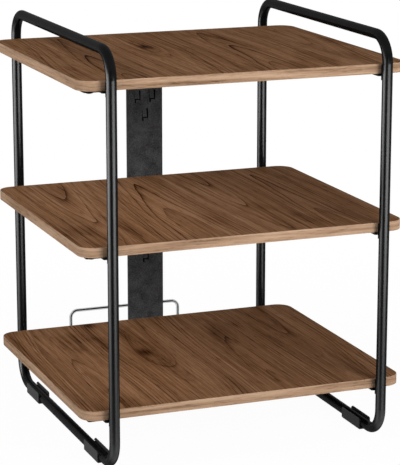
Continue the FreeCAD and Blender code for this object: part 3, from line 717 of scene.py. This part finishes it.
leg_low, leg_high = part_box("top_front_left_bracket")
leg_bead = weld_bead(BEAD_RADIUS, leg_high[2] - leg_low[2] - 2 * BEAD_SHORT_OF_LEG)
for side in SIDES:
    loop_low, loop_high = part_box(f"{side}_frame_tube")
    axis_x = (loop_low[0] + loop_high[0]) / 2
    corners_y = {
        "front": loop_low[1] + TUBE_RADIUS + BEAD_AHEAD,
        "rear": loop_high[1] - TUBE_RADIUS - BEAD_AHEAD,
    }
    for end in ENDS:
        for level in LEVELS:
            leg_low, leg_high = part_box(f"{level}_{end}_{side}_bracket")
            height = (leg_low[2] + leg_high[2]) / 2
            asides = (-BEAD_ASIDE, BEAD_ASIDE)
            pair = [(axis_x + aside, corners_y[end], height) for aside in asides]
            lay_beads(f"{level}_{end}_{side}_weld", leg_bead, pair, coat)
bpy.data.objects.remove(leg_bead)

# %% [markdown]
# The cradle's wire is welded to its plates in the same way, with smaller beads that lie
# along the wire, so this bead is turned on its side before it is copied.

# %% Weld beads along the cradle wire
SMALL_BEAD_RADIUS = 1.0 * MILLIMETRE
SMALL_BEAD_LENGTH = 20.0 * MILLIMETRE
SMALL_BEAD_ASIDE = 2.7 * MILLIMETRE
SMALL_BEAD_BELOW = 0.8 * MILLIMETRE
QUARTER_TURN = math.radians(90.0)

wire_bead = weld_bead(SMALL_BEAD_RADIUS, SMALL_BEAD_LENGTH)
wire_bead.rotation_euler = (QUARTER_TURN, 0.0, 0.0)
bpy.ops.object.transform_apply(location=True, rotation=True, scale=True)
for side in SIDES:
    plate_low, plate_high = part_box(f"{side}_cradle_plate")
    middle_x, middle_y = [(plate_low[axis] + plate_high[axis]) / 2 for axis in (0, 1)]
    corner_z = plate_low[2] - SMALL_BEAD_BELOW
    asides = (-SMALL_BEAD_ASIDE, SMALL_BEAD_ASIDE)
    pair = [(middle_x + aside, middle_y, corner_z) for aside in asides]
    lay_beads(f"{side}_cradle_weld", wire_bead, pair, chrome)
bpy.data.objects.remove(wire_bead)

# %% [markdown]
# The floor is a large white sheet. It has to look white without more light falling on
# the stand, so most of the shade that the camera sees is given by a white glow. The rest
# is an ordinary matt white that still takes the soft shadow, and further out, where no
# shadow falls, the glow takes over altogether. Reflections skip the floor and see the
# surround below it, which is as white, so that the reflected screens can reach under it.

# %% White floor
WHITE = (1.0, 1.0, 1.0, 1.0)
FLOOR_SIZE = 60.0
FLOOR_SHADE = (0.85, 0.85, 0.85, 1.0)
NEAR_GLOW = 0.97
SHADOW_REACH = (0.4, 1.2)


def emptied(block):
    """A new material or world with nothing in its graph."""
    block.use_nodes = True
    block.node_tree.nodes.clear()
    return block


def seen_directly(finish):
    """One for rays that show the studio: from the camera, off gloss and through glass."""
    path = add_node(finish, "ShaderNodeLightPath").outputs
    seen = path["Is Camera Ray"]
    for rays in ("Is Glossy Ray", "Is Transmission Ray"):
        seen = reckon(finish, "MAXIMUM", seen, path[rays])
    return seen


bpy.ops.object.select_all(action="DESELECT")
bpy.ops.mesh.primitive_plane_add(size=FLOOR_SIZE, location=(0.0, 0.0, 0.0))
floor = bpy.context.active_object
floor.name = "studio_floor"
floor.visible_glossy = False

paper = emptied(bpy.data.materials.new("white_sheet"))
matt = add_node(paper, "ShaderNodeBsdfDiffuse", {"Color": FLOOR_SHADE})
glow = add_node(paper, "ShaderNodeEmission", {"Color": WHITE, "Strength": 1.0})
from_stand = add_node(paper, "ShaderNodeVectorMath", {0: object_place(paper)}, operation="LENGTH")
glow_share = between(paper, from_stand.outputs["Value"], *SHADOW_REACH, NEAR_GLOW, 1.0)
seen_glow = reckon(paper, "MULTIPLY", seen_directly(paper), glow_share)
matt_or_glow = {0: seen_glow, 1: matt.outputs[0], 2: glow.outputs[0]}
mixed = add_node(paper, "ShaderNodeMixShader", matt_or_glow)
add_node(paper, "ShaderNodeOutputMaterial", {"Surface": mixed.outputs[0]})
floor.data.materials.append(paper)
print("floor", FLOOR_SIZE, "m square")

# %% [markdown]
# The studio: a pale surround lights the stand from all sides. It is bright low down, so
# that light reaches in between the shelves, and dark overhead. The camera and all
# reflections see it as plain white, so metal shows the same background as the picture.

# %% Studio surround
FILL_LEVEL = 1.14
OVERHEAD_LEVEL = 0.0
FILL_FADE = (0.38, 0.66)

world = emptied(bpy.data.worlds.new("studio"))
bpy.context.scene.world = world
ray = add_node(world, "ShaderNodeTexCoord").outputs["Generated"]
fill = between(world, axes_of(world, ray)["Z"], *FILL_FADE, FILL_LEVEL, OVERHEAD_LEVEL)
fill_or_white = {0: seen_directly(world), 2: fill, 3: 1.0}
brightness = add_node(world, "ShaderNodeMix", fill_or_white).outputs[0]
surround = add_node(world, "ShaderNodeBackground", {"Color": WHITE, "Strength": brightness})
add_node(world, "ShaderNodeOutputWorld", {"Surface": surround.outputs[0]})
print("surround of", FILL_LEVEL, "below and", OVERHEAD_LEVEL, "overhead")

# %% [markdown]
# Two long highlights run down every tube and fade towards the floor. They are mirror
# images of tall lit screens, one far to the left and one in front. A lamp would also
# light the boards, so each screen is a clear glowing sheet that only shows in
# reflections. A sheet's own coordinates run from minus a half to a half, whatever its
# size, and its glow dies away towards two of its borders.

# %% Sheets that only reflections show
SHEET_BORDER = 0.5


def reflected_sheet(name, place, turn, size, mirrors=None):
    """A sheet that only reflections show, and its empty finish."""
    bpy.ops.object.select_all(action="DESELECT")
    bpy.ops.mesh.primitive_plane_add(size=1.0, location=place, rotation=turn)
    sheet = bpy.context.active_object
    sheet.name = name
    sheet.scale = (*size, 1.0)
    for rays in ("camera", "diffuse", "transmission", "volume_scatter", "shadow"):
        setattr(sheet, f"visible_{rays}", False)
    sheet.light_linking.receiver_collection = mirrors
    finish = emptied(bpy.data.materials.new(name))
    sheet.data.materials.append(finish)
    print(name, "at", [round(value, 2) for value in place])
    return finish


def glow_through(finish, brightness):
    """Make a finish clear, with this much light of its own."""
    light = add_node(finish, "ShaderNodeEmission", {"Strength": brightness})
    clear = add_node(finish, "ShaderNodeBsdfTransparent")
    light_and_clear = {0: light.outputs[0], 1: clear.outputs[0]}
    both = add_node(finish, "ShaderNodeAddShader", light_and_clear)
    add_node(finish, "ShaderNodeOutputMaterial", {"Surface": both.outputs[0]})


def soft_border(finish, axis, start):
    """One in the middle of a sheet, falling to nothing at both ends."""
    place = axes_of(finish, object_place(finish))[axis]
    from_middle = reckon(finish, "ABSOLUTE", place)
    return between(finish, from_middle, start, SHEET_BORDER, 1.0, 0.0)


# %% [markdown]
# The screens reach below the floor, because the tubes, seen from above, mirror what lies
# lower than themselves. The front screen ends below the handles: from behind, these would
# mirror it at a glancing angle and turn white. The coat is thin and mirrors little, so
# the screens are strong, and light linking keeps them to the tubes.

# %% Reflected screens
SCREEN_FOOT = -2.5
SCREEN_HALF_WIDTH = 1.5
SCREEN_BORDER_START = 0.2
DIMMEST_HEIGHT = -0.47
DIMMEST_SHARE = 0.12


def reflected_screen(name, turn, distance, fade, strength):
    """A screen at a bearing from the front, in degrees, that faces the stand."""
    angle = math.radians(turn)
    fade_start, top = fade
    middle = (SCREEN_FOOT + top) / 2
    place = (distance * math.sin(angle), -distance * math.cos(angle), middle)
    size = (2 * SCREEN_HALF_WIDTH, top - SCREEN_FOOT)
    finish = reflected_sheet(name, place, (QUARTER_TURN, 0.0, angle), size, tubes)
    spot = add_node(finish, "ShaderNodeNewGeometry").outputs["Position"]
    height = axes_of(finish, spot)["Z"]
    rising = between(finish, height, DIMMEST_HEIGHT, 0.0, DIMMEST_SHARE, 1.0)
    falling = between(finish, height, fade_start, top, 1.0, 0.0)
    brightness = reckon(finish, "MULTIPLY", rising, falling)
    brightness = reckon(finish, "MULTIPLY", brightness, strength)
    border = soft_border(finish, "X", SCREEN_BORDER_START)
    glow_through(finish, reckon(finish, "MULTIPLY", brightness, border))


tubes = bpy.data.collections.new("coated_tubes")
for side in SIDES:
    tubes.objects.link(nodes[f"{side}_frame_tube"])
reflected_screen("left_screen", turn=-93.0, distance=2.1, fade=(0.5, 1.0), strength=52.0)
reflected_screen("front_screen", turn=18.0, distance=2.4, fade=(0.15, 0.42), strength=66.0)

# %% [markdown]
# The bends at the feet of the front legs look down at the floor just ahead of them. The
# thin coat would all but lose it, so a glowing patch of floor lies there. Only the tubes
# mirror it, and it fades out towards the camera.

# %% Floor patch mirrored in the front bends
PATCH_AHEAD = 0.3
PATCH_BEHIND = 0.03
PATCH_HALF_WIDTH = 0.45
PATCH_DEPTH = 0.03
PATCH_STRENGTH = 8.0
PATCH_FULL_FROM = 0.3
PATCH_BORDER_START = 0.4

loop_low, loop_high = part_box("left_frame_tube")
patch_place = (0.0, loop_low[1] + (PATCH_BEHIND - PATCH_AHEAD) / 2, -PATCH_DEPTH)
patch_size = (2 * PATCH_HALF_WIDTH, PATCH_AHEAD + PATCH_BEHIND)
patch = reflected_sheet("floor_patch", patch_place, (0.0, 0.0, 0.0), patch_size, tubes)
inwards = axes_of(patch, object_place(patch))["Y"]
nearer = between(patch, inwards, -SHEET_BORDER, PATCH_FULL_FROM, 0.0, PATCH_STRENGTH)
patch_border = soft_border(patch, "Y", PATCH_BORDER_START)
glow_through(patch, reckon(patch, "MULTIPLY", nearer, patch_border))

# %% [markdown]
# The camera's side of a studio is dark. In an all-white room polished wire would vanish
# against the background, so a curtain behind the camera, which only reflections show,
# draws the dark line along the front of the chrome.

# %% Dark curtain behind the camera
CURTAIN_PLACE = (0.0, -4.5, 0.0)
CURTAIN_SIZE = (9.0, 6.0)
CURTAIN_BLACK = (0.02, 0.02, 0.02, 1.0)

velvet = reflected_sheet("dark_curtain", CURTAIN_PLACE, (QUARTER_TURN, 0.0, 0.0), CURTAIN_SIZE)
nap = add_node(velvet, "ShaderNodeBsdfDiffuse", {"Color": CURTAIN_BLACK})
add_node(velvet, "ShaderNodeOutputMaterial", {"Surface": nap.outputs[0]})

# %% [markdown]
# The surround alone would light the boards without any direction, so two softboxes model
# them. One in front to the right sets soft shadows beside the tubes, and one higher on
# the left lights the left edges and the left part of the shelves.

# %% Softboxes
SOFTBOX_SIDE = 0.9
SOFTBOX_AIM = Vector((0.0, -0.048, 0.3))


def softbox(name, place, power):
    """A lamp panel that looks at the stand and isn't seen itself, not even in metal."""
    lamp = bpy.data.lights.new(name, "AREA")
    lamp.shape = "RECTANGLE"
    lamp.size = SOFTBOX_SIDE
    lamp.size_y = SOFTBOX_SIDE
    lamp.energy = power
    panel = bpy.data.objects.new(name, lamp)
    bpy.context.scene.collection.objects.link(panel)
    panel.location = place
    panel.rotation_euler = (SOFTBOX_AIM - panel.location).to_track_quat("-Z", "Y").to_euler()
    panel.visible_camera = False
    panel.visible_glossy = False
    print(name, "of", power, "W at", place)


softbox("front_softbox", place=(0.65, -2.3, 1.0), power=42.0)
softbox("left_softbox", place=(-1.9, -0.3, 1.9), power=29.0)

# %% [markdown]
# The camera takes the picture's own viewpoint: higher than the handles and out to the
# left of the front. It stands well back with a long lens, which keeps the legs nearly
# parallel.

# %% Camera
CAMERA_PLACE = (-1.1403, -3.018, 1.0542)
CAMERA_YAW = 21.18
CAMERA_DIP = 13.38
CAMERA_LENS = 159.0

view = bpy.data.cameras.new("product_view")
view.lens = CAMERA_LENS
camera = bpy.data.objects.new("product_view", view)
bpy.context.scene.collection.objects.link(camera)
camera.location = CAMERA_PLACE
camera_tilt = QUARTER_TURN - math.radians(CAMERA_DIP)
camera.rotation_euler = (camera_tilt, 0.0, math.radians(-CAMERA_YAW))
bpy.context.scene.camera = camera
bpy.context.scene.view_settings.view_transform = "Standard"
print("camera at", CAMERA_PLACE)
